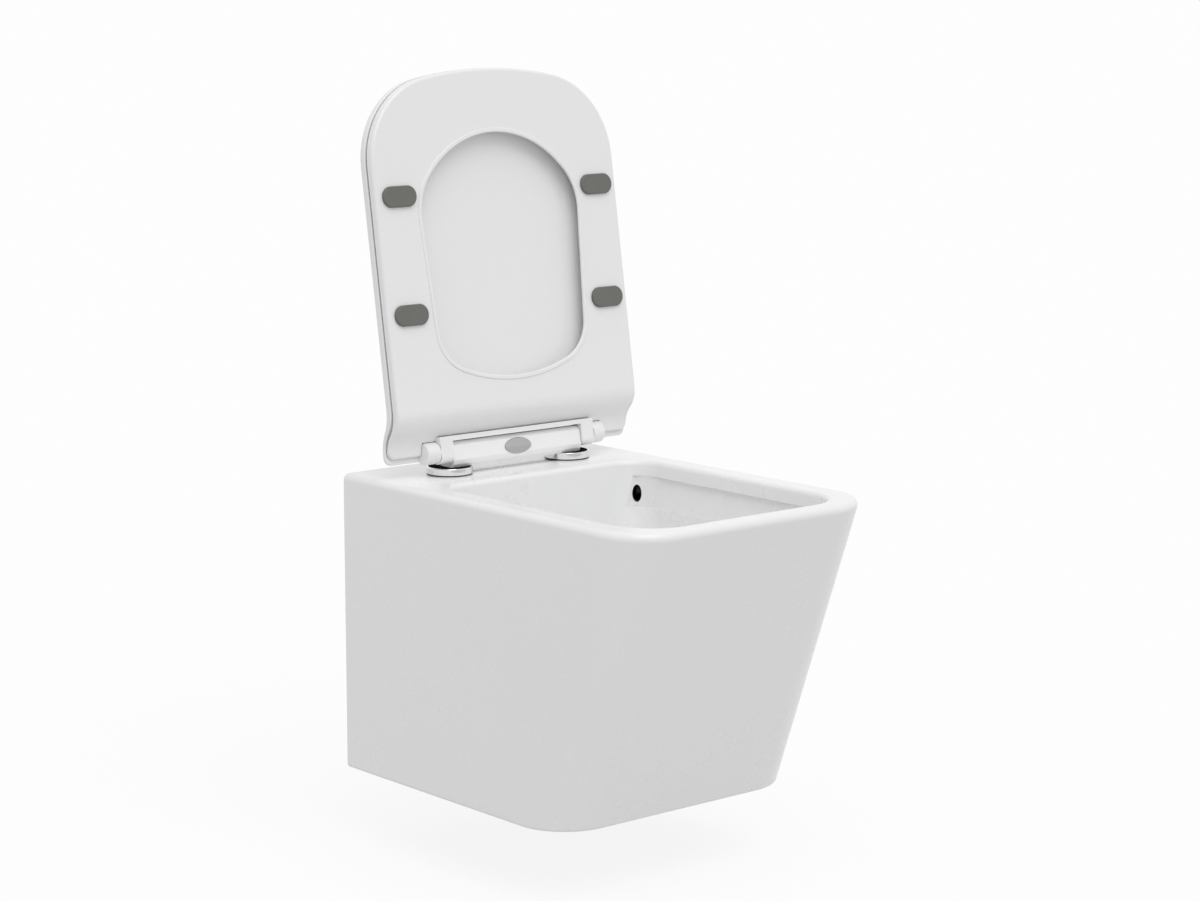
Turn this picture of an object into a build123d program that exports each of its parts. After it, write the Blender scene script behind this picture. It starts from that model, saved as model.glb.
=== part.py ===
import os
from build123d import *

# Wall hung toilet with its seat and lid raised, in millimetres
# The origin is midway between the two wall bolts on the wall face: +X right, -Y forward, +Z up

# Bowl
bowl_width = 360.0
top_length = 513.0
base_length = 384.0
bowl_height = 347.0
corner_radius = 64.0
rim_edge_radius = 8.0
wall_edge_radius = 3.0
base_edge_radius = 4.0
china_wall = 12.0
deck_thickness = 14.0
basin_wall = 10.0

# Rim opening and basin, as distances from the wall and from the rim
opening_half_width = 147.0
opening_back = 139.0
front_rim_width = 22.0
opening_rear_radius = 40.0
opening_front_radius = 55.0
opening_edge_radius = 6.0
sump_depth = 271.0
sump_half_width = 48.0
sump_back = 165.0
sump_front = 275.0

# Flush channel in the right wall of the basin, and its jet hole
channel_top_half_width = 151.0
channel_bottom_half_width = 143.6
channel_top_drop = 18.0
channel_bottom_drop = 55.0
channel_start = 150.0
channel_end = 428.0
channel_fade = 26.0
channel_edge_radius = 3.0
jet_drop = 39.5
jet_corner_x = 134.0
jet_corner_y = 153.0
jet_axis_reach = 14.0
jet_width = 11.0
jet_height = 21.0

# Wall connections
bolt_drop = 80.0
bolt_spacing = 180.0
bolt_hole_radius = 6.5
bush_radius = 11.0
bush_flange_radius = 17.0
bush_flange = 4.0
beam_half_height = 22.0
beam_thickness = 24.0
inlet_rise = 35.0
inlet_radius = 27.5
inlet_depth = 32.0
water_way_radius = 12.0
water_way_wall = 5.0
water_way_bend = 24.0
water_way_turn = 116.0
outlet_fall = 100.0
spigot_radius = 51.0
spigot_length = 60.0
spigot_wall = 7.0
trap_radius = 29.0
trap_wall = 8.0
trap_bend = 39.0
trap_entry_rise = 33.0
trap_weir_rise = 186.0

# Hinge posts through the deck, and the round covers that stand off-centre round them
post_spacing = 155.0
post_radius = 4.0
post_hole_radius = 7.0
post_neck_radius = 3.0
post_head_radius = 5.0
post_neck = 4.6
post_head = 2.6
post_head_chamfer = 0.8
post_collar_radius = 7.0
post_collar = 2.0
post_below_deck = 52.0
cover_radius = 26.6
cover_offset = 9.5
cover_from_wall = 80.6
cover_height = 9.0
cover_edge_chamfer = 0.6
cover_wall = 1.8
gasket_thickness = 1.6
gasket_inset = 0.6
insert_thickness = 1.8
bush_length = 16.0
deck_bush_radius = 11.5
washer_thickness = 1.6
washer_radius = 12.0
nut_height = 10.0
nut_radius = 8.0
nut_wing = 15.0
nut_wing_thickness = 3.0

# Hinge line
axis_from_wall = 87.5
axis_above_deck = 27.5
open_angle = 98.95
bar_half_length = 94.5
bar_radius = 11.6
bar_back = 14.0
bar_edge_radius = 3.0
bar_base_thickness = 1.8
bar_base_margin = 0.8
cavity_front = 5.4
cavity_back = 12.0
cavity_end_wall = 4.0
base_screw_radius = 1.1
base_screw_head = 2.2
base_screw_boss = 2.8
base_screw_places = (-62.0, -34.0, 34.0, 62.0)
base_screw_behind = 7.4
lug_width = 18.0
lug_side_gap = 0.5
knuckle_width = 17.5
knuckle_radius = 12.7
knuckle_end_wall = 2.6
knuckle_edge_radius = 2.2
shaft_radius = 4.5
shaft_flat = 3.8
shaft_neck_radius = 3.75
shaft_neck_flat = 3.1
shaft_inner_end = 59.0
shaft_end_gap = 0.4
running_gap = 0.05
slide_gap = 0.2
damper_radius = 8.4
damper_length = 44.0
damper_chamfer = 0.5

# Release button, its spring and the two latches
button_width = 38.0
button_height = 18.0
button_above_deck = 25.5
button_ridge = (-10.9, -2.5)
button_top_edge = (-8.3, 7.5)
button_low_edge = (-11.2, -11.5)
button_back = 4.0
button_travel = 3.0
button_ear = 3.0
button_stem_radius = 3.2
button_stem_end = 3.0
guide_start = 2.0
guide_thickness = 2.0
well_back = 7.0
well_half_width = 24.0
well_top = 5.5
spring_wire = 0.7
spring_turns = 2.0
latch_thickness = 2.2
latch_front = 4.5
latch_back = 1.1
latch_tooth = 4.0
wedge_half_width = 7.6
wedge_gap = 0.15

# Seat and lid, closed: forward of the hinge line, and above or below it
lid_half_width = 177.0
seat_half_width = 176.0
lid_reach = 434.0
front_bow_radius = 500.0
front_corner_radius = 100.0
seat_inset = 1.2
bumper_clearance = 0.3
bumper_thickness = 4.0
seat_thickness = 10.5
stack_gap = 1.9
lid_thickness = 10.5
lid_rear_rise = 15.2
lid_rear_thickness = 7.0
lid_curve_start = 54.0
lid_curve_end = 4.0
lid_rear_reach = 8.5
seat_rear_rise = 24.4
seat_rear_thickness = 5.6
seat_curve_start = 49.0
seat_curve_end = -1.9
seat_rear_reach = 2.0
rear_corner_radius = 9.0
lid_edge_radius = 4.0
seat_edge_radius = 4.0
inner_edge_radius = 1.2
lid_recess_depth = 6.0
lid_recess_inset = 16.0
lid_recess_back = 62.0
lid_recess_edge = 5.0
lid_cutout_reach = 20.0
seat_hole_back = 78.5
seat_hole_front = 358.5
seat_hole_front_half = 115.5
seat_hole_back_half = 105.0
seat_hole_front_bow = 127.0
seat_hole_back_bow = 208.0
seat_hole_front_corner = 68.0
seat_hole_back_corner = 48.0
seat_hole_edge_radius = 1.4
seat_hole_flare = 9.0
seat_hole_flare_angle = 45.0
seat_hole_top_radius = 4.0
seat_bead_width = 5.0
seat_bead_height = 1.2
lip_inner_reach = 12.2
lip_outer_reach = 17.5
lip_rise = 12.0
knuckle_clearance = 0.6
lug_below_axis = 12.0
lug_behind_axis = 13.5
lug_corner_radius = 8.0
lug_above_axis = 6.0
bumper_length = 46.0
bumper_width = 24.0
bumper_edge_radius = 1.5
bumper_half_spacing = 144.0
bumper_front_reach = 291.5
bumper_rear_reach = 158.0
pad_radius = 5.0
pad_gap = 0.1
pad_half_spacing = 168.5
pad_reaches = (110.0, 300.0)

# Places that follow from the sizes above
deck_z = bolt_drop
base_z = deck_z - bowl_height
axis_y = -axis_from_wall
axis_z = deck_z + axis_above_deck
cover_top = deck_z + cover_height
post_x = post_spacing / 2
cover_x = post_x + cover_offset
lug_start = bar_half_length + lug_side_gap
knuckle_start = lug_start + lug_width + lug_side_gap
knuckle_end = knuckle_start + knuckle_width
bumper_face = bumper_clearance - axis_above_deck
seat_under = bumper_face + bumper_thickness
seat_top = seat_under + seat_thickness
lid_under = seat_top + stack_gap
lid_top = lid_under + lid_thickness
bar_under = cover_top - axis_z
base_top = bar_under + bar_base_thickness
post_back = axis_from_wall - cover_from_wall
head_low = bar_under + post_neck
cavity_top = head_low + post_head + 1
cavity_half = bar_half_length - cavity_end_wall
latch_low = base_top + slide_gap
latch_top = latch_low + latch_thickness
button_z = button_above_deck - axis_above_deck
far = 600.0


def block(x0, x1, y0, y1, z0, z1):
    return Pos((x0 + x1) / 2, (y0 + y1) / 2, (z0 + z1) / 2) * Box(abs(x1 - x0), abs(y1 - y0), abs(z1 - z0))


def rod_x(radius, x0, x1, y=0.0, z=0.0):
    return Pos((x0 + x1) / 2, y, z) * Rot(0, 90, 0) * Cylinder(radius, abs(x1 - x0))


def rod_y(radius, y0, y1, x=0.0, z=0.0):
    return Pos(x, (y0 + y1) / 2, z) * Rot(90, 0, 0) * Cylinder(radius, abs(y1 - y0))


def rod_z(radius, z0, z1, x=0.0, y=0.0):
    return Pos(x, y, (z0 + z1) / 2) * Cylinder(radius, abs(z1 - z0))


def raised(piece):
    # From closed, about the hinge line, to the raised place
    return Pos(0, axis_y, axis_z) * Rot(-open_angle, 0, 0) * piece


# Bowl
def skirt_outline(width, length, radius, back=0.0):
    corners = Polyline(
        (-width / 2, back), (width / 2, back), (width / 2, -length), (-width / 2, -length), close=True
    )
    face = make_face(corners)
    return fillet(face.vertices().sort_by(Axis.Y)[:2], radius)


def front_at(height):
    # The front face slopes straight from the base to the top
    return base_length + (top_length - base_length) * height / bowl_height


def skirt(inset, low, high, back):
    width = bowl_width - 2 * inset
    radius = corner_radius - inset
    sections = [
        Pos(0, 0, base_z + height) * skirt_outline(width, front_at(height) - inset, radius, back)
        for height in (low, high)
    ]
    return loft(sections, ruled=True)


def basin_section(height, half_width, back, front, rear_radius, front_radius):
    corners = Polyline(
        (-half_width, -back), (half_width, -back), (half_width, -front), (-half_width, -front), close=True
    )
    face = fillet(make_face(corners).vertices().sort_by(Axis.Y)[:2], front_radius)
    face = fillet(face.vertices().sort_by(Axis.Y)[-2:], rear_radius)
    return Pos(0, 0, base_z + height) * face


def basin(grow, top):
    # Five levels from the rim to the floor of the sump
    opening_front = top_length - front_rim_width
    rim_slope = top_length - front_at(bowl_height - 60)
    neck_half_width = (opening_half_width + sump_half_width) / 2 - 24
    levels = [
        (
            bowl_height + top, opening_half_width, opening_back, opening_front,
            opening_rear_radius, opening_front_radius,
        ),
        (bowl_height - 60, opening_half_width - 5, opening_back + 4, opening_front - rim_slope - 2, 42, 60),
        (bowl_height - 147, opening_half_width - 30, opening_back + 11, opening_front - 80, 58, 88),
        (bowl_height - 215, neck_half_width, sump_back - 6, sump_front + 62, 48, 66),
        (bowl_height - sump_depth - grow, sump_half_width, sump_back, sump_front, 34, 42),
    ]
    sections = [
        basin_section(height, half + grow, back - grow, front + grow, rear + grow, corner + grow)
        for height, half, back, front, rear, corner in levels
    ]
    return loft(sections)


def trap_path(extra=0.0):
    entry_z = base_z + bowl_height - sump_depth + trap_entry_rise
    outlet_z = -outlet_fall
    return FilletPolyline(
        (0, -sump_back - 70 - extra, entry_z),
        (0, -sump_back - 24, entry_z),
        (0, -sump_back + 38, base_z + bowl_height - sump_depth + trap_weir_rise),
        (0, -spigot_length - 18, outlet_z),
        (0, -spigot_length + 22 + extra, outlet_z),
        radius=trap_bend,
    )


def tube(radius, path):
    return sweep(Plane(origin=path @ 0, z_dir=path % 0) * Circle(radius), path=path)


def flush_channel():
    # A ledge along the right wall that grows out of the corner and fades at the front
    low = deck_z - channel_bottom_drop
    high = deck_z - channel_top_drop
    wall_x = opening_half_width - 30
    depth = channel_top_half_width - opening_half_width
    section = Polyline(
        (wall_x, low), (channel_bottom_half_width, low), (channel_top_half_width, high), (wall_x, high),
        close=True,
    )
    band = Plane.XZ * make_face(section)
    band = extrude(band, far)
    upper_edge = band.edges().filter_by(Axis.Y).sort_by(lambda edge: edge.center().X + edge.center().Z)[-1]
    band = fillet(upper_edge, channel_edge_radius)
    corner_x = channel_top_half_width - opening_rear_radius
    reach = Polyline(
        (wall_x, -channel_start + 3), (corner_x + 24, -channel_start + 1),
        (opening_half_width - 5.5, -channel_start - 10), (opening_half_width - 0.5, -channel_start - 22),
        (channel_top_half_width, -channel_start - 40),
        (channel_top_half_width, channel_fade - channel_end),
        (opening_half_width - 2 - depth / 4, -channel_end), (wall_x, -channel_end), close=True,
    )
    return band & extrude(make_face(reach), far, both=True)


def make_bowl():
    outer = skirt(0, 0, bowl_height, 0)
    top_edges = outer.faces().sort_by(Axis.Z)[-1].edges().sort_by(Axis.Y)
    outer = fillet(top_edges[:-1], rim_edge_radius)
    back_edges = [edge for edge in outer.edges().filter_by(Axis.X) if edge.center().Y > -1]
    outer = fillet(ShapeList(back_edges).sort_by(Axis.Z)[-1], wall_edge_radius)
    base_edges = outer.faces().sort_by(Axis.Z)[0].edges().sort_by(Axis.Y)
    outer = fillet(base_edges[:-1], base_edge_radius)
    hollow = skirt(china_wall, china_wall, bowl_height - deck_thickness, 10)
    china = outer - hollow

    # Basin with its trapway
    china += basin(basin_wall, 0) & outer
    china += tube(trap_radius + trap_wall, trap_path())
    channel_rib = block(
        opening_half_width - 20, channel_top_half_width + basin_wall,
        -channel_end - basin_wall, -opening_back,
        deck_z - channel_bottom_drop - basin_wall, deck_z - deck_thickness + 1,
    )
    china += channel_rib & outer

    # Connections in the back: fixing beam, inlet socket, outlet spigot
    china += block(
        china_wall / 2 - bowl_width / 2, bowl_width / 2 - china_wall / 2,
        -beam_thickness, 0, -beam_half_height, beam_half_height,
    )
    china += rod_y(inlet_radius + spigot_wall, -opening_back, 0, z=inlet_rise)
    china += rod_y(spigot_radius, -spigot_length, 0, z=-outlet_fall)

    # Water way from the inlet socket, behind the basin, to a chamber behind the jet hole
    jet_z = deck_z - jet_drop
    way_y = 2 * water_way_radius + water_way_wall - opening_back
    chamber_x = jet_corner_x + jet_axis_reach
    chamber_y = jet_axis_reach - jet_corner_y
    way = FilletPolyline(
        (0, way_y, inlet_rise), (water_way_turn, way_y - 5, jet_z), (chamber_x, chamber_y, jet_z),
        radius=water_way_bend,
    )
    within = skirt(2, 0, bowl_height, 0)
    china += tube(water_way_radius + water_way_wall, way) & within
    china += Pos(chamber_x, chamber_y, jet_z) * Sphere(water_way_radius + water_way_wall + 1) & within

    # Everything cut out of the china
    china -= basin(0, 2)
    china -= tube(trap_radius, trap_path(4))
    spigot_bore = spigot_radius - spigot_wall
    china -= rod_y(spigot_bore, -spigot_length + 18, 5, z=-outlet_fall)
    china -= rod_y(inlet_radius, -inlet_depth, 5, z=inlet_rise)
    china -= rod_y(water_way_radius, way_y - water_way_radius, 0, z=inlet_rise)
    china -= tube(water_way_radius, way)
    china -= Pos(chamber_x, chamber_y, jet_z) * Sphere(water_way_radius)
    china -= flush_channel()
    jet_start = (jet_corner_x - 10, -jet_corner_y - 10, jet_z)
    jet_plane = Plane(origin=jet_start, x_dir=(1, -1, 0), z_dir=(1, 1, 0))
    china -= extrude(jet_plane * Ellipse(jet_width / 2, jet_height / 2), jet_axis_reach * 2)
    for side in (-1, 1):
        china -= rod_y(bush_radius, -beam_thickness - 5, 5, x=side * bolt_spacing / 2)
        china -= rod_z(post_hole_radius, deck_z - 40, deck_z + 5, side * post_x, -cover_from_wall)
    rim_face = china.faces().filter_by(Axis.Z).sort_by(Axis.Z)[-1]
    opening_loop = rim_face.inner_wires().sort_by(SortBy.LENGTH)[-1]
    return fillet(opening_loop.edges(), opening_edge_radius)


def wall_bush(side):
    x = side * bolt_spacing / 2
    bush = rod_y(bush_radius - slide_gap, -beam_thickness, 0, x=x)
    bush += rod_y(bush_flange_radius, -beam_thickness - bush_flange, -beam_thickness, x=x)
    return bush - rod_y(bolt_hole_radius, -far, far, x=x)


# Round covers and the posts they stand on
def hinge_cover(side):
    low = deck_z + gasket_thickness
    collar_low = cover_top - insert_thickness - post_collar
    tray_low = cover_top - insert_thickness
    cover = rod_z(cover_radius, low, cover_top, side * cover_x, -cover_from_wall)
    cover = chamfer(cover.edges().sort_by(Axis.Z)[-1], cover_edge_chamfer)
    cover -= rod_z(cover_radius - cover_wall, tray_low, far, side * cover_x, -cover_from_wall)
    cover -= rod_z(post_collar_radius + slide_gap, collar_low, far, side * post_x, -cover_from_wall)
    return cover - rod_z(post_radius + slide_gap, low - 5, cover_top, side * post_x, -cover_from_wall)


def cover_insert(side):
    low = cover_top - insert_thickness
    insert = rod_z(cover_radius - cover_wall - running_gap, low, cover_top, side * cover_x, -cover_from_wall)
    return insert - rod_z(post_neck_radius + slide_gap, -far, far, side * post_x, -cover_from_wall)


def cover_gasket(side):
    gasket = rod_z(cover_radius - gasket_inset, deck_z, deck_z + gasket_thickness, side * cover_x, -cover_from_wall)
    return gasket - rod_z(post_radius + slide_gap, -far, far, side * post_x, -cover_from_wall)


def hinge_post(side):
    collar_high = cover_top - insert_thickness
    collar_low = collar_high - post_collar
    head_bottom = cover_top + post_neck
    post = rod_z(post_radius, deck_z - post_below_deck, collar_low)
    post += rod_z(post_collar_radius, collar_low, collar_high)
    post += rod_z(post_neck_radius, collar_high, head_bottom)
    head = rod_z(post_head_radius, head_bottom, head_bottom + post_head)
    post += chamfer(head.edges().sort_by(Axis.Z)[-1], post_head_chamfer)
    return Pos(side * post_x, -cover_from_wall, 0) * post


def deck_bush(side):
    # A cone under the deck with a neck in the china hole
    under = deck_z - deck_thickness
    bush = rod_z(post_hole_radius - slide_gap, under, deck_z - 2)
    bush += Pos(0, 0, under - bush_length / 2) * Cone(deck_bush_radius - 3, deck_bush_radius, bush_length)
    return Pos(side * post_x, -cover_from_wall, 0) * (bush - rod_z(post_radius + running_gap, -far, far))


def post_washer(side):
    top = deck_z - deck_thickness - bush_length
    washer = rod_z(washer_radius, top - washer_thickness, top)
    return Pos(side * post_x, -cover_from_wall, 0) * (washer - rod_z(post_radius + running_gap, -far, far))


def post_nut(side):
    top = deck_z - deck_thickness - bush_length - washer_thickness
    wing_y = nut_wing_thickness / 2
    wings = block(-nut_wing, nut_wing, -wing_y, wing_y, top - nut_height, top - 2)
    nut = rod_z(nut_radius, top - nut_height, top) + fillet(wings.edges().filter_by(Axis.Y), 2.5)
    return Pos(side * post_x, -cover_from_wall, 0) * (nut - rod_z(post_radius + running_gap, -far, far))


# Hinge bar and what it holds, drawn about the hinge line with y rearward and z up from it
def about_axis(piece):
    return Pos(0, axis_y, axis_z) * piece


def hinge_bar():
    # Leaning front panel, round top within the hinge radius, upright back
    outline = Polyline(
        (-7.4, bar_under), (-10.0, bar_under + 4.0), (-11.0, bar_under + 9.0), (-7.5, 6.5),
        (-2.5, bar_radius - 0.5), (4.5, bar_radius - 0.9), (bar_back - 2.6, 5.6), (bar_back, -2.5),
        (bar_back, bar_under), close=True,
    )
    section = make_face(outline)
    upper = [vertex for vertex in section.vertices() if vertex.Y > bar_under + 1]
    bar = extrude(Plane.YZ * fillet(upper, bar_edge_radius), bar_half_length, both=True)
    for side in (-1, 1):
        bar -= rod_x(damper_radius + running_gap, side * (bar_half_length - damper_length), side * far)

    # Latch cavity open below, the rebate for its base, and the button's well
    bar -= block(-cavity_half, cavity_half, -cavity_front, cavity_back, bar_under - 5, cavity_top)
    rebate = cavity_half + bar_base_margin
    bar -= block(
        -rebate, rebate, -cavity_front - bar_base_margin, cavity_back + bar_base_margin,
        bar_under - 5, base_top,
    )
    bar -= block(-well_half_width, well_half_width, -cavity_front, guide_start, cavity_top - 1, well_top)
    bar -= block(
        -well_half_width, well_half_width, guide_start + guide_thickness, well_back,
        cavity_top - 1, well_top - 2,
    )
    bar -= rod_y(button_stem_radius + slide_gap, -cavity_front, well_back, z=button_z)
    opening = Ellipse(button_width / 2 + slide_gap, button_height / 2 + slide_gap)
    opening_depth = far - button_back + button_travel + slide_gap
    front_plane = Plane(origin=(0, -far, button_z), x_dir=(1, 0, 0), z_dir=(0, 1, 0))
    bar -= extrude(front_plane * opening, opening_depth)
    for x in base_screw_places:
        bar += rod_z(base_screw_boss, base_top, cavity_top + 0.5, x, base_screw_behind)
        bar -= rod_z(base_screw_radius + running_gap, bar_under, cavity_top, x, base_screw_behind)
    return about_axis(bar)


def hinge_bar_base():
    margin = bar_base_margin - slide_gap
    base = block(
        -cavity_half - margin, cavity_half + margin, -cavity_front - margin, cavity_back + margin,
        bar_under, base_top,
    )
    for side in (-1, 1):
        base -= rod_z(post_head_radius + 1, -far, far, side * post_x, post_back)
    for x in base_screw_places:
        base -= rod_z(base_screw_radius + slide_gap, -far, far, x, base_screw_behind)
        sink = Cone(base_screw_head + slide_gap, base_screw_radius + slide_gap, 1.0)
        base -= Pos(x, base_screw_behind, bar_under + 0.5) * sink
    return about_axis(base)


def base_screws():
    screws = []
    for x in base_screw_places:
        shank = rod_z(base_screw_radius, bar_under + 0.4, cavity_top - 0.4, x, base_screw_behind)
        head = Cone(base_screw_head, base_screw_radius, 1.0)
        screws.append(shank + Pos(x, base_screw_behind, bar_under + 0.5) * head)
    return about_axis(Compound(children=screws))


def release_button():
    # Oval cap with ears behind the panel, a guide stem, and an arm down to the wedge
    face = Plane(origin=(0, -button_back, button_z), x_dir=(1, 0, 0), z_dir=(0, -1, 0))
    button = extrude(face * Ellipse(button_width / 2, button_height / 2), far)
    facets = Polyline(
        button_ridge, button_top_edge, (far, button_top_edge[1]), (far, button_low_edge[1]), button_low_edge,
        close=True,
    )
    button = button & extrude(Plane.YZ * make_face(facets), button_width, both=True)
    ear = button_width / 2 + button_ear
    button += block(-ear, ear, slide_gap - cavity_front, -button_back, button_z - 4, button_z + 4)
    button += rod_y(button_stem_radius, -button_back - 1, button_stem_end, z=button_z)
    button += block(-3, 3, slide_gap - cavity_front, -2.4, latch_top - 1, button_z - button_height / 2 + 4)
    tip_half = wedge_half_width - latch_front - latch_back
    wedge = Polyline(
        (-wedge_half_width, slide_gap - cavity_front), (wedge_half_width, slide_gap - cavity_front),
        (wedge_half_width, -latch_front), (tip_half, latch_back), (-tip_half, latch_back),
        (-wedge_half_width, -latch_front), close=True,
    )
    return about_axis(button + Pos(0, 0, latch_low) * extrude(make_face(wedge), latch_thickness))


def button_spring():
    # On the stem, between the cap and the guide wall, as short as it is when the button is pressed
    start = spring_wire / 2 + slide_gap + button_travel - button_back
    length = guide_start - slide_gap - spring_wire / 2 - start
    coil_radius = button_stem_radius + slide_gap + spring_wire / 2
    coil = Helix(pitch=length / spring_turns, height=length, radius=coil_radius)
    wire = sweep(Plane(origin=coil @ 0, z_dir=coil % 0) * Circle(spring_wire / 2), path=coil, is_frenet=True)
    return about_axis(Pos(0, start, button_z) * Rot(-90, 0, 0) * wire)


def latch(side):
    # A strip in front of the post with a tooth that reaches under the post's head from outside
    tooth_start = post_x + post_neck_radius + slide_gap
    tooth_end = tooth_start + latch_tooth
    inner_front = wedge_half_width + wedge_gap
    inner_back = inner_front - latch_front - latch_back
    outline = Polyline(
        (inner_front, -latch_front), (tooth_end, -latch_front), (tooth_end, post_back + 4),
        (tooth_start, post_back + 4), (tooth_start, latch_back), (inner_back, latch_back), close=True,
    )
    strip = Pos(0, 0, latch_low) * extrude(make_face(outline), latch_thickness)
    if side < 0:
        strip = mirror(strip, about=Plane.YZ)
    return about_axis(strip)


def damper(side):
    body = rod_x(damper_radius, side * (bar_half_length - damper_length), side * bar_half_length)
    body = chamfer(body.edges().sort_by(Axis.X)[-1 if side > 0 else 0], damper_chamfer)
    bore_start = shaft_inner_end - shaft_end_gap
    return about_axis(body - rod_x(shaft_neck_radius + running_gap, side * bore_start, side * far))


def flat_rod(radius, flat, start, end):
    # A shaft with two flats, that can't turn in a hole of its own shape
    return rod_x(radius, start, end) & block(start, end, -far, far, -flat, flat)


# Seat and lid, drawn closed: y is minus the distance forward of the hinge line
def plan(half_width, reach, bow, corner, rear, rear_radius):
    middle_x = half_width - corner
    bow_y = bow - reach
    middle_y = bow_y - ((bow - corner) ** 2 - middle_x ** 2) ** 0.5
    meet_x = middle_x * bow / (bow - corner)
    meet_y = bow_y + (middle_y - bow_y) * bow / (bow - corner)
    front = ThreePointArc((meet_x, meet_y), (0, -reach), (-meet_x, meet_y))
    loop = [
        Line((-half_width, rear), (half_width, rear)),
        Line((half_width, rear), (half_width, middle_y)),
        TangentArc((half_width, middle_y), (meet_x, meet_y), tangent=(0, -1)),
        front,
        TangentArc((-meet_x, meet_y), (-half_width, middle_y), tangent=front % 1),
        Line((-half_width, middle_y), (-half_width, rear)),
    ]
    face = make_face(loop)
    return fillet(face.vertices().sort_by(Axis.Y)[-2:], rear_radius)


def rising(start, end):
    # Two equal arcs that leave and arrive level
    middle = ((start[0] + end[0]) / 2, (start[1] + end[1]) / 2)
    first = TangentArc(start, middle, tangent=(1, 0))
    return [first, TangentArc(middle, end, tangent=first % 1)]


def curved_plate(outline, low_start, low_end, high_start, high_end, rear):
    # Flat plate whose rear rises to the hinge line
    front = -far
    loop = [Line((front, low_start[1]), low_start)]
    loop += rising(low_start, low_end)
    loop += [
        Line(low_end, (rear, low_end[1])),
        Line((rear, low_end[1]), (rear, high_end[1])),
        Line((rear, high_end[1]), high_end),
    ]
    loop += rising(high_start, high_end)
    loop += [Line(high_start, (front, high_start[1])), Line((front, high_start[1]), (front, low_start[1]))]
    side_face = Plane.YZ * make_face(loop)
    return extrude(side_face, far / 2, both=True) & extrude(outline, far / 2, both=True)


def round_rim(plate, way, radius):
    # Rounds the outer border of the faces that look up, or down
    faces = [face for face in plate.faces() if way * face.normal_at().Z > 0.5]
    edges = [edge for face in faces for edge in face.edges()]
    border = [edge for edge in edges if sum(edge.is_same(other) for other in edges) == 1]
    return fillet(border, radius)


def seat_hole():
    front_y = seat_hole_front_bow - seat_hole_front
    back_y = -seat_hole_back_bow - seat_hole_back
    front_side = front_y - (seat_hole_front_bow ** 2 - seat_hole_front_half ** 2) ** 0.5
    back_side = back_y + (seat_hole_back_bow ** 2 - seat_hole_back_half ** 2) ** 0.5
    loop = [
        ThreePointArc(
            (-seat_hole_back_half, back_side), (0, -seat_hole_back), (seat_hole_back_half, back_side)
        ),
        Line((seat_hole_back_half, back_side), (seat_hole_front_half, front_side)),
        ThreePointArc(
            (seat_hole_front_half, front_side), (0, -seat_hole_front), (-seat_hole_front_half, front_side)
        ),
        Line((-seat_hole_front_half, front_side), (-seat_hole_back_half, back_side)),
    ]
    face = make_face(loop)
    face = fillet(face.vertices().sort_by(Axis.Y)[:2], seat_hole_front_corner)
    return fillet(face.vertices().sort_by(Axis.Y)[-2:], seat_hole_back_corner)


def seat_ring():
    outline = plan(
        seat_half_width, lid_reach - seat_inset, front_bow_radius, front_corner_radius, seat_rear_reach,
        rear_corner_radius,
    )
    seat = curved_plate(
        outline, (-seat_curve_start, seat_under), (-seat_curve_end, seat_under + seat_rear_rise),
        (-seat_curve_start - 1, seat_top), (0, seat_under + seat_rear_rise + seat_rear_thickness),
        seat_rear_reach,
    )
    seat = round_rim(seat, -1, seat_edge_radius)
    seat = round_rim(seat, 1, inner_edge_radius)

    # Hole with a low bead round it underneath
    hole = seat_hole()
    bead = extrude(offset(hole, seat_bead_width), seat_bead_height + 2)
    bead = Pos(0, 0, seat_under - seat_bead_height) * bead
    bead = fillet(bead.edges().group_by(Axis.Z)[0], seat_bead_height - 0.1)
    seat += bead
    seat -= extrude(hole, far / 2, both=True)
    flare = extrude(hole, seat_hole_flare + 1, taper=-seat_hole_flare_angle)
    seat -= Pos(0, 0, seat_top - seat_hole_flare) * flare
    flat_top = [face for face in seat.faces().filter_by(Axis.Z) if abs(face.center().Z - seat_top) < 0.01][0]
    seat = fillet(flat_top.inner_wires()[0].edges(), seat_hole_top_radius)
    bead_face = seat.faces().filter_by(Axis.Z).sort_by(Axis.Z)[0]
    seat = fillet(bead_face.inner_wires()[0].edges(), seat_hole_edge_radius)

    # Gap for the bar and the lid's knuckles, then the lip and the two lugs that hold the shafts
    gap_half = knuckle_end + lug_side_gap
    seat -= block(-gap_half, gap_half, -lip_inner_reach, far, -far, far)
    for side in (-1, 1):
        seat -= rod_x(knuckle_radius + knuckle_clearance, side * (lug_start + lug_width), side * gap_half)
    lip_top = seat_top + lip_rise
    seat += block(-lug_start, lug_start, -lip_outer_reach, -lip_inner_reach, -lug_below_axis, lip_top)
    for side in (-1, 1):
        inner = side * lug_start
        outer = side * (lug_start + lug_width)
        lug = block(inner, outer, -lip_outer_reach, lug_behind_axis, -lug_below_axis, lug_above_axis)
        rear_edges = lug.edges().filter_by(Axis.X).sort_by(Axis.Y)[-2:]
        seat += fillet(rear_edges, lug_corner_radius)
    lug_end = lug_start + lug_width
    seat -= flat_rod(shaft_radius + running_gap, shaft_flat + running_gap, -lug_end - 1, -lug_start + 1)
    seat -= rod_x(shaft_radius + running_gap, lug_start - 1, lug_end + 1)
    return seat


def bumpers():
    pads = {}
    for name, reach in (("front", bumper_front_reach), ("rear", bumper_rear_reach)):
        for place, side in (("left", -1), ("right", 1)):
            pad = extrude(SlotOverall(bumper_length, bumper_width), bumper_thickness)
            pad = Pos(side * bumper_half_spacing, -reach, bumper_face) * pad
            pads[f"bumper_{name}_{place}"] = fillet(pad.edges().group_by(Axis.Z)[0], bumper_edge_radius)
    return pads


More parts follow.
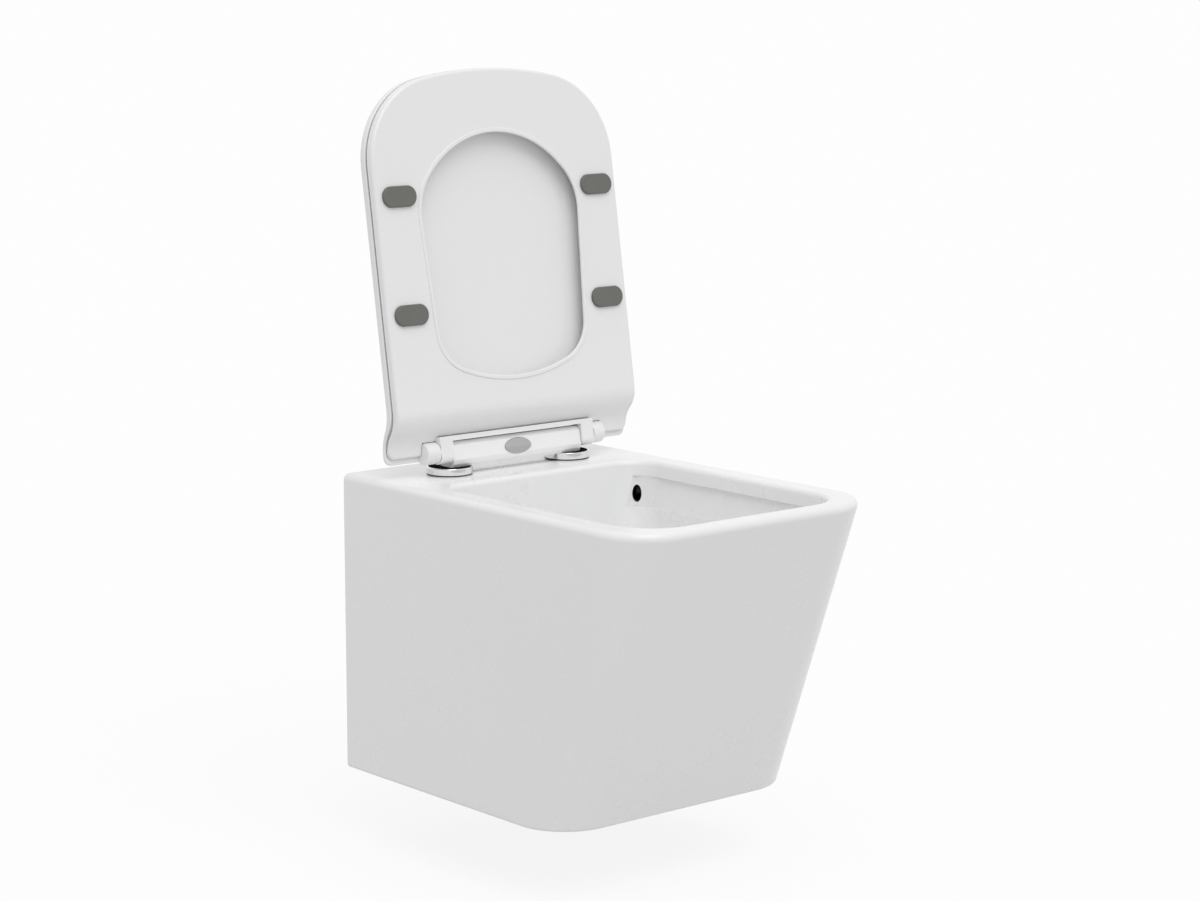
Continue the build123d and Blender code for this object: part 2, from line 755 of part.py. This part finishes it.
def lid():
    outline = plan(
        lid_half_width, lid_reach, front_bow_radius, front_corner_radius, lid_rear_reach, rear_corner_radius
    )
    rear_low = lid_top + lid_rear_rise - lid_rear_thickness
    plate = curved_plate(
        outline, (1 - lid_curve_start, lid_under), (-lid_curve_end, rear_low),
        (-lid_curve_start, lid_top), (-lid_curve_end, lid_top + lid_rear_rise), lid_rear_reach,
    )
    plate = round_rim(plate, 1, lid_edge_radius)
    plate = round_rim(plate, -1, inner_edge_radius)
    inset = lid_recess_inset
    recess = plan(
        lid_half_width - inset, lid_reach - inset, front_bow_radius - inset, front_corner_radius - inset,
        -lid_recess_back, front_corner_radius / 4,
    )
    recess = Pos(0, 0, lid_under - 5) * extrude(recess, lid_recess_depth + 5)
    plate -= fillet(recess.edges().group_by(Axis.Z)[-1], lid_recess_edge)
    plate -= block(-knuckle_start - 0.1, knuckle_start + 0.1, -lid_cutout_reach, far, -far, far)
    for side in (-1, 1):
        knuckle = rod_x(knuckle_radius, side * knuckle_start, side * knuckle_end)
        end_edge = knuckle.edges().sort_by(Axis.X)[-1 if side > 0 else 0]
        plate += fillet(end_edge, knuckle_edge_radius)
    bore_end = knuckle_end - knuckle_end_wall
    plate -= rod_x(shaft_neck_radius + running_gap, -bore_end, -knuckle_start + 1)
    return plate - flat_rod(
        shaft_neck_radius + running_gap, shaft_neck_flat + running_gap, knuckle_start - 1, bore_end
    )


def lid_pads():
    low = seat_top + pad_gap
    pads = [
        rod_z(pad_radius, low, lid_under, side * pad_half_spacing, -reach)
        for side in (-1, 1) for reach in pad_reaches
    ]
    return Compound(children=pads)


def seat_shaft():
    # Fixed in the seat's left lug: turns in the damper and carries the lid's left knuckle
    pivot = rod_x(shaft_neck_radius, knuckle_end_wall + shaft_end_gap - knuckle_end, -knuckle_start)
    held = flat_rod(shaft_radius, shaft_flat, -knuckle_start, -lug_start)
    return pivot + held + rod_x(shaft_neck_radius, -lug_start, -shaft_inner_end)


def lid_shaft():
    # Fixed in the lid's right knuckle: turns in the seat's right lug and in the damper
    held = flat_rod(shaft_neck_radius, shaft_neck_flat, knuckle_start, knuckle_end - knuckle_end_wall - shaft_end_gap)
    turning = rod_x(shaft_radius, lug_start, knuckle_start)
    return held + turning + rod_x(shaft_neck_radius, shaft_inner_end, lug_start)


parts = {
    "bowl": make_bowl(),
    "hinge_bar": hinge_bar(),
    "hinge_bar_base": hinge_bar_base(),
    "base_screws": base_screws(),
    "release_button": release_button(),
    "button_spring": button_spring(),
    "seat_damper": damper(-1),
    "lid_damper": damper(1),
    "seat_ring": raised(seat_ring()),
    "seat_shaft": raised(seat_shaft()),
    "lid": raised(lid()),
    "lid_pads": raised(lid_pads()),
    "lid_shaft": raised(lid_shaft()),
}
for name, bumper in bumpers().items():
    parts[name] = raised(bumper)
for place, side in (("left", -1), ("right", 1)):
    parts[f"wall_bush_{place}"] = wall_bush(side)
    parts[f"hinge_cover_{place}"] = hinge_cover(side)
    parts[f"cover_insert_{place}"] = cover_insert(side)
    parts[f"cover_gasket_{place}"] = cover_gasket(side)
    parts[f"hinge_post_{place}"] = hinge_post(side)
    parts[f"deck_bush_{place}"] = deck_bush(side)
    parts[f"post_washer_{place}"] = post_washer(side)
    parts[f"post_nut_{place}"] = post_nut(side)
    parts[f"latch_{place}"] = latch(side)

os.makedirs("parts", exist_ok=True)
for name, shape in parts.items():
    export_step(shape, f"parts/{name}.step")
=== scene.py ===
import math

import bpy
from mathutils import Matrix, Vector

# Wall hung toilet with its seat and lid raised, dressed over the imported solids
print("stage: loading the frame")
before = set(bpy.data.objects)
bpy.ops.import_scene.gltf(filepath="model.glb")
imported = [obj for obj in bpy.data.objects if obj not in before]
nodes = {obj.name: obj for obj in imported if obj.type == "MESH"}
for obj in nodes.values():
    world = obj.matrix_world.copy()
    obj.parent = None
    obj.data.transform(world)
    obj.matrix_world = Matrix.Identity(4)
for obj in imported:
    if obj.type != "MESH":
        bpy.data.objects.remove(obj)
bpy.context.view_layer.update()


# Helpers for building shaders
def addNode(tree, kind, place, **values):
    made = tree.nodes.new(kind)
    made.location = place
    for key, value in values.items():
        setattr(made, key, value)
    return made


def makeGroup(name, inputs, outputs):
    tree = bpy.data.node_groups.new(name, "ShaderNodeTree")
    for label, kind, start in inputs:
        made = tree.interface.new_socket(name=label, in_out="INPUT", socket_type=kind)
        made.default_value = start
    for label, kind in outputs:
        tree.interface.new_socket(name=label, in_out="OUTPUT", socket_type=kind)
    entry = addNode(tree, "NodeGroupInput", (-900, 0))
    leave = addNode(tree, "NodeGroupOutput", (700, 0))
    return tree, entry, leave


toneLook = {"broadDetail": 3, "fineDetail": 2, "fineShare": 0.25, "low": 0.25, "high": 1.0}


def buildToneGroup(look):
    # slow drift of tone over a surface, with finer specks in it
    tree, entry, leave = makeGroup(
        "toneDrift",
        [
            ("Colour", "NodeSocketColor", (0.8, 0.8, 0.8, 1)),
            ("Drift Colour", "NodeSocketColor", (0.75, 0.75, 0.75, 1)),
            ("Amount", "NodeSocketFloat", 0.5),
            ("Size", "NodeSocketFloat", 6.0),
            ("Fine Size", "NodeSocketFloat", 90.0),
            ("Roughness", "NodeSocketFloat", 0.3),
            ("Roughness Spread", "NodeSocketFloat", 0.05),
        ],
        [("Colour", "NodeSocketColor"), ("Roughness", "NodeSocketFloat")],
    )
    link = tree.links.new
    where = addNode(tree, "ShaderNodeTexCoord", (-900, -300))
    broad = addNode(tree, "ShaderNodeTexNoise", (-650, 120))
    broad.inputs["Detail"].default_value = look["broadDetail"]
    fine = addNode(tree, "ShaderNodeTexNoise", (-650, -160))
    fine.inputs["Detail"].default_value = look["fineDetail"]
    both = addNode(tree, "ShaderNodeMath", (-420, 0), operation="MULTIPLY_ADD")
    both.inputs[1].default_value = look["fineShare"]
    shape = addNode(tree, "ShaderNodeMapRange", (-220, 0))
    shape.inputs["From Min"].default_value = look["low"]
    shape.inputs["From Max"].default_value = look["high"]
    scaled = addNode(tree, "ShaderNodeMath", (-20, 60), operation="MULTIPLY")
    blend = addNode(tree, "ShaderNodeMix", (180, 120), data_type="RGBA")
    spread = addNode(tree, "ShaderNodeMath", (180, -160), operation="MULTIPLY_ADD")
    link(where.outputs["Object"], broad.inputs["Vector"])
    link(where.outputs["Object"], fine.inputs["Vector"])
    link(entry.outputs["Size"], broad.inputs["Scale"])
    link(entry.outputs["Fine Size"], fine.inputs["Scale"])
    link(fine.outputs["Fac"], both.inputs[0])
    link(broad.outputs["Fac"], both.inputs[2])
    link(both.outputs[0], shape.inputs["Value"])
    link(shape.outputs["Result"], scaled.inputs[0])
    link(entry.outputs["Amount"], scaled.inputs[1])
    link(scaled.outputs[0], blend.inputs["Factor"])
    link(entry.outputs["Colour"], blend.inputs["A"])
    link(entry.outputs["Drift Colour"], blend.inputs["B"])
    link(shape.outputs["Result"], spread.inputs[0])
    link(entry.outputs["Roughness Spread"], spread.inputs[1])
    link(entry.outputs["Roughness"], spread.inputs[2])
    link(blend.outputs["Result"], leave.inputs["Colour"])
    link(spread.outputs[0], leave.inputs["Roughness"])
    return tree


reliefLook = {"waveDetail": 1, "skinDetail": 2}


def buildReliefGroup(look):
    # two sizes of relief for the height of a bump: slow waves and a fine skin
    tree, entry, leave = makeGroup(
        "skinRelief",
        [
            ("Wave Size", "NodeSocketFloat", 20.0),
            ("Skin Size", "NodeSocketFloat", 400.0),
            ("Skin Share", "NodeSocketFloat", 0.3),
        ],
        [("Height", "NodeSocketFloat")],
    )
    link = tree.links.new
    where = addNode(tree, "ShaderNodeTexCoord", (-900, -300))
    wave = addNode(tree, "ShaderNodeTexNoise", (-600, 100))
    wave.inputs["Detail"].default_value = look["waveDetail"]
    skin = addNode(tree, "ShaderNodeTexNoise", (-600, -160))
    skin.inputs["Detail"].default_value = look["skinDetail"]
    mixed = addNode(tree, "ShaderNodeMix", (-200, 0), data_type="FLOAT")
    link(where.outputs["Object"], wave.inputs["Vector"])
    link(where.outputs["Object"], skin.inputs["Vector"])
    link(entry.outputs["Wave Size"], wave.inputs["Scale"])
    link(entry.outputs["Skin Size"], skin.inputs["Scale"])
    link(entry.outputs["Skin Share"], mixed.inputs["Factor"])
    link(wave.outputs["Fac"], mixed.inputs["A"])
    link(skin.outputs["Fac"], mixed.inputs["B"])
    link(mixed.outputs["Result"], leave.inputs["Height"])
    return tree


toneDrift = buildToneGroup(toneLook)
skinRelief = buildReliefGroup(reliefLook)


def finishMaterial(name, look):
    # one Principled shader with tone drift, a relief bump and, where asked, painted shade in narrow gaps, from
    # a dictionary of values
    material = bpy.data.materials.new(name)
    material.use_nodes = True
    tree = material.node_tree
    tree.nodes.clear()
    link = tree.links.new
    result = addNode(tree, "ShaderNodeOutputMaterial", (500, 0))
    shader = addNode(tree, "ShaderNodeBsdfPrincipled", (200, 0))
    link(shader.outputs["BSDF"], result.inputs["Surface"])
    tone = addNode(tree, "ShaderNodeGroup", (-200, 120), node_tree=toneDrift)
    tone.inputs["Colour"].default_value = (*look["colour"], 1)
    tone.inputs["Drift Colour"].default_value = (*look["drift"], 1)
    tone.inputs["Amount"].default_value = look["amount"]
    tone.inputs["Size"].default_value = look["size"]
    tone.inputs["Fine Size"].default_value = look["fineSize"]
    tone.inputs["Roughness"].default_value = look["roughness"]
    tone.inputs["Roughness Spread"].default_value = look["spread"]
    link(tone.outputs["Roughness"], shader.inputs["Roughness"])
    if "paintedShadeReach" in look:
        # painted shade: ambient occlusion within the reach (in metres) darkens the colour towards near-black in
        # narrow gaps and deep holes
        hidden = addNode(tree, "ShaderNodeAmbientOcclusion", (-560, 420), samples=8)
        hidden.inputs["Distance"].default_value = look["paintedShadeReach"]
        depth = addNode(tree, "ShaderNodeMapRange", (-360, 420))
        depth.inputs["From Min"].default_value = look["paintedShadeDark"]
        depth.inputs["From Max"].default_value = look["paintedShadeClear"]
        paintedShade = addNode(tree, "ShaderNodeMix", (0, 360), data_type="RGBA")
        paintedShade.inputs["A"].default_value = (*look["paintedShadeColour"], 1)
        link(hidden.outputs["AO"], depth.inputs["Value"])
        link(depth.outputs["Result"], paintedShade.inputs["Factor"])
        link(tone.outputs["Colour"], paintedShade.inputs["B"])
        link(paintedShade.outputs["Result"], shader.inputs["Base Color"])
    else:
        link(tone.outputs["Colour"], shader.inputs["Base Color"])
    relief = addNode(tree, "ShaderNodeGroup", (-400, -260), node_tree=skinRelief)
    relief.inputs["Wave Size"].default_value = look["waveSize"]
    relief.inputs["Skin Size"].default_value = look["skinSize"]
    relief.inputs["Skin Share"].default_value = look["skinShare"]
    bump = addNode(tree, "ShaderNodeBump", (-60, -260))
    bump.inputs["Strength"].default_value = look["bump"]
    bump.inputs["Distance"].default_value = look["bumpDepth"]
    link(relief.outputs["Height"], bump.inputs["Height"])
    link(bump.outputs["Normal"], shader.inputs["Normal"])
    shader.inputs["Metallic"].default_value = look.get("metallic", 0)
    shader.inputs["IOR"].default_value = look.get("ior", 1.5)
    shader.inputs["Specular IOR Level"].default_value = look.get("shine", 0.5)
    shader.inputs["Coat Weight"].default_value = look.get("coat", 0)
    shader.inputs["Coat Roughness"].default_value = look.get("coatRoughness", 0.03)
    return material


def wear(material, names):
    for name in names:
        obj = nodes[name]
        obj.data.materials.clear()
        obj.data.materials.append(material)


print("stage: materials")
chinaLook = {
    "colour": (0.9, 0.901, 0.903), "drift": (0.87, 0.873, 0.878), "amount": 0.5, "size": 5, "fineSize": 60,
    "roughness": 0.25, "spread": 0.05, "waveSize": 9, "skinSize": 60, "skinShare": 0.04,
    "bump": 0.03, "bumpDepth": 0.0008, "coat": 0.12, "coatRoughness": 0.12, "ior": 1.5,
    # painted shade: colour darkened towards near-black in gaps and the jet hole, within 30 mm
    "paintedShadeReach": 0.03, "paintedShadeDark": 0.15, "paintedShadeClear": 0.38, "paintedShadeColour": (0.01, 0.01, 0.01),
}
wear(finishMaterial("glazedChina", chinaLook), ["bowl"])

seatLook = {
    "colour": (0.88, 0.88, 0.882), "drift": (0.86, 0.862, 0.867), "amount": 0.4, "size": 7, "fineSize": 120,
    "roughness": 0.22, "spread": 0.06, "waveSize": 16, "skinSize": 600, "skinShare": 0.35,
    "bump": 0.08, "bumpDepth": 0.0004, "coat": 0.25, "coatRoughness": 0.1, "ior": 1.5,
    # painted shade: colour darkened in the gap between seat and lid, within 5 mm
    "paintedShadeReach": 0.005, "paintedShadeDark": 0.14, "paintedShadeClear": 0.36, "paintedShadeColour": (0.02, 0.02, 0.02),
}
wear(finishMaterial("seatPlastic", seatLook), ["seat_ring", "lid"])

hingeLook = {
    "colour": (0.93, 0.93, 0.93), "drift": (0.9, 0.9, 0.905), "amount": 0.4, "size": 20, "fineSize": 200,
    "roughness": 0.3, "spread": 0.08, "waveSize": 40, "skinSize": 1400, "skinShare": 0.7,
    "bump": 0.12, "bumpDepth": 0.0002, "ior": 1.48,
    # painted shade: colour darkened in the hinge's narrow gaps, within 3 mm
    "paintedShadeReach": 0.003, "paintedShadeDark": 0.1, "paintedShadeClear": 0.34, "paintedShadeColour": (0.02, 0.02, 0.02),
}
wear(finishMaterial("hingePlastic", hingeLook), ["hinge_bar", "hinge_bar_base"])

bushLook = {
    "colour": (0.72, 0.72, 0.7), "drift": (0.66, 0.66, 0.63), "amount": 0.6, "size": 40, "fineSize": 300,
    "roughness": 0.45, "spread": 0.12, "waveSize": 80, "skinSize": 1800, "skinShare": 0.6,
    "bump": 0.2, "bumpDepth": 0.0002,
}
wear(
    finishMaterial("bushPlastic", bushLook),
    ["wall_bush_left", "wall_bush_right", "post_nut_left", "post_nut_right", "latch_left", "latch_right",
     "seat_damper", "lid_damper", "lid_pads"],
)

chromeLook = {
    "colour": (0.8, 0.8, 0.81), "drift": (0.72, 0.72, 0.74), "amount": 0.5, "size": 60, "fineSize": 500,
    "roughness": 0.08, "spread": 0.08, "waveSize": 120, "skinSize": 2500, "skinShare": 0.4,
    "bump": 0.05, "bumpDepth": 0.0001, "metallic": 1,
}
wear(finishMaterial("coverChrome", chromeLook), ["hinge_cover_left", "hinge_cover_right"])

insertLook = {
    "colour": (0.012, 0.012, 0.013), "drift": (0.02, 0.02, 0.021), "amount": 0.7, "size": 80, "fineSize": 700,
    "roughness": 0.55, "spread": 0.15, "waveSize": 150, "skinSize": 3000, "skinShare": 0.8,
    "bump": 0.3, "bumpDepth": 0.0002, "shine": 0.0, "ior": 1.02,
}
wear(finishMaterial("insertPlastic", insertLook), ["cover_insert_left", "cover_insert_right"])

rubberLook = {
    "colour": (0.03, 0.03, 0.031), "drift": (0.05, 0.05, 0.05), "amount": 0.6, "size": 60, "fineSize": 500,
    "roughness": 0.6, "spread": 0.2, "waveSize": 120, "skinSize": 2400, "skinShare": 0.8,
    "bump": 0.3, "bumpDepth": 0.0003,
}
wear(
    finishMaterial("darkRubber", rubberLook),
    ["cover_gasket_left", "cover_gasket_right", "deck_bush_left", "deck_bush_right"],
)

steelLook = {
    "colour": (0.58, 0.58, 0.59), "drift": (0.48, 0.48, 0.5), "amount": 0.6, "size": 90, "fineSize": 900,
    "roughness": 0.25, "spread": 0.15, "waveSize": 200, "skinSize": 4000, "skinShare": 0.7,
    "bump": 0.15, "bumpDepth": 0.0001, "metallic": 1,
}
wear(
    finishMaterial("postSteel", steelLook),
    ["hinge_post_left", "hinge_post_right", "post_washer_left", "post_washer_right", "base_screws",
     "seat_shaft", "lid_shaft", "button_spring"],
)

buttonLook = {
    "colour": (0.47, 0.47, 0.475), "drift": (0.42, 0.42, 0.425), "amount": 0.4, "size": 60, "fineSize": 900,
    "roughness": 0.3, "spread": 0.1, "waveSize": 200, "skinSize": 3000, "skinShare": 0.8,
    "bump": 0.1, "bumpDepth": 0.0001, "metallic": 0.3,
}
wear(finishMaterial("buttonSilver", buttonLook), ["release_button"])

bumperLook = {
    "colour": (0.14, 0.14, 0.128), "drift": (0.17, 0.17, 0.157), "amount": 0.6, "size": 70, "fineSize": 800,
    "roughness": 0.5, "spread": 0.15, "waveSize": 150, "skinSize": 2500, "skinShare": 0.7,
    "bump": 0.25, "bumpDepth": 0.0002,
}
wear(
    finishMaterial("bumperRubber", bumperLook),
    ["bumper_front_left", "bumper_front_right", "bumper_rear_left", "bumper_rear_right"],
)

print("stage: floor, lamps and camera")
floorLook = {
    "height": -0.352, "size": 400, "colour": (0.62, 0.62, 0.62), "seenColour": (0.95, 0.95, 0.95),
    "cameraWhite": 0.85,
}


def buildFloor(look):
    mesh = bpy.data.meshes.new("floor")
    half = look["size"]
    corners = [(-half, -half), (half, -half), (half, half), (-half, half)]
    mesh.from_pydata([(x, y, look["height"]) for x, y in corners], [], [(0, 1, 2, 3)])
    floor = bpy.data.objects.new("floor", mesh)
    bpy.context.scene.collection.objects.link(floor)
    material = bpy.data.materials.new("paleFloor")
    material.use_nodes = True
    tree = material.node_tree
    tree.nodes.clear()
    link = tree.links.new
    result = addNode(tree, "ShaderNodeOutputMaterial", (600, 0))
    matt = addNode(tree, "ShaderNodeBsdfDiffuse", (0, 100))
    shade = addNode(tree, "ShaderNodeMix", (-200, 100), data_type="RGBA")
    shade.inputs["A"].default_value = (*look["colour"], 1)
    shade.inputs["B"].default_value = (*look["seenColour"], 1)
    glow = addNode(tree, "ShaderNodeEmission", (0, -100))
    path = addNode(tree, "ShaderNodeLightPath", (-400, 300))
    seen = addNode(tree, "ShaderNodeMath", (-200, 300), operation="MAXIMUM")
    share = addNode(tree, "ShaderNodeMath", (0, 300), operation="MULTIPLY")
    share.inputs[1].default_value = look["cameraWhite"]
    mixed = addNode(tree, "ShaderNodeMixShader", (300, 0))
    link(path.outputs["Is Camera Ray"], seen.inputs[0])
    link(path.outputs["Is Glossy Ray"], seen.inputs[1])
    link(seen.outputs[0], share.inputs[0])
    link(seen.outputs[0], shade.inputs["Factor"])
    link(shade.outputs["Result"], matt.inputs["Color"])
    link(share.outputs[0], mixed.inputs["Fac"])
    link(matt.outputs[0], mixed.inputs[1])
    link(glow.outputs[0], mixed.inputs[2])
    link(mixed.outputs[0], result.inputs["Surface"])
    mesh.materials.append(material)


buildFloor(floorLook)

worldLook = {"ambient": 0.7, "white": 1.0}


def buildWorld(look):
    world = bpy.data.worlds.new("paleRoom")
    bpy.context.scene.world = world
    world.use_nodes = True
    tree = world.node_tree
    tree.nodes.clear()
    link = tree.links.new
    result = addNode(tree, "ShaderNodeOutputWorld", (600, 0))
    soft = addNode(tree, "ShaderNodeBackground", (0, 100))
    soft.inputs["Strength"].default_value = look["ambient"]
    soft.inputs["Color"].default_value = (1, 1, 1, 1)
    plain = addNode(tree, "ShaderNodeBackground", (0, -100))
    plain.inputs["Strength"].default_value = look["white"]
    plain.inputs["Color"].default_value = (1, 1, 1, 1)
    path = addNode(tree, "ShaderNodeLightPath", (-600, 300))
    seen = addNode(tree, "ShaderNodeMath", (-300, 300), operation="MAXIMUM")
    alsoGlass = addNode(tree, "ShaderNodeMath", (-100, 300), operation="MAXIMUM")
    mixed = addNode(tree, "ShaderNodeMixShader", (300, 0))
    link(path.outputs["Is Camera Ray"], seen.inputs[0])
    link(path.outputs["Is Glossy Ray"], seen.inputs[1])
    link(seen.outputs[0], alsoGlass.inputs[0])
    link(path.outputs["Is Transmission Ray"], alsoGlass.inputs[1])
    link(alsoGlass.outputs[0], mixed.inputs["Fac"])
    link(soft.outputs[0], mixed.inputs[1])
    link(plain.outputs[0], mixed.inputs[2])
    link(mixed.outputs[0], result.inputs["Surface"])


buildWorld(worldLook)

lampLook = {
    "above": {"towards": (-0.15, -0.52, 0.84), "angle": 50, "strength": 0.95},
}


def buildLamps(looks):
    for name, look in looks.items():
        data = bpy.data.lights.new(name, "SUN")
        data.energy = look["strength"]
        data.angle = math.radians(look["angle"])
        lamp = bpy.data.objects.new(name, data)
        lamp.rotation_euler = Vector(look["towards"]).to_track_quat("Z", "Y").to_euler()
        bpy.context.scene.collection.objects.link(lamp)


buildLamps(lampLook)

cameraLook = {
    "place": (-2.1619, -2.7915, 0.6729), "turn": 40.32, "down": 9.43, "lens": 90.6, "sensor": 36, "farEnd": 100,
}


def buildCamera(look):
    data = bpy.data.cameras.new("camera")
    data.lens = look["lens"]
    data.sensor_width = look["sensor"]
    data.clip_end = look["farEnd"]
    camera = bpy.data.objects.new("camera", data)
    camera.location = look["place"]
    camera.rotation_euler = (math.radians(90 - look["down"]), 0, -math.radians(look["turn"]))
    bpy.context.scene.collection.objects.link(camera)
    bpy.context.scene.camera = camera


buildCamera(cameraLook)

bpy.context.scene.view_settings.view_transform = "Standard"
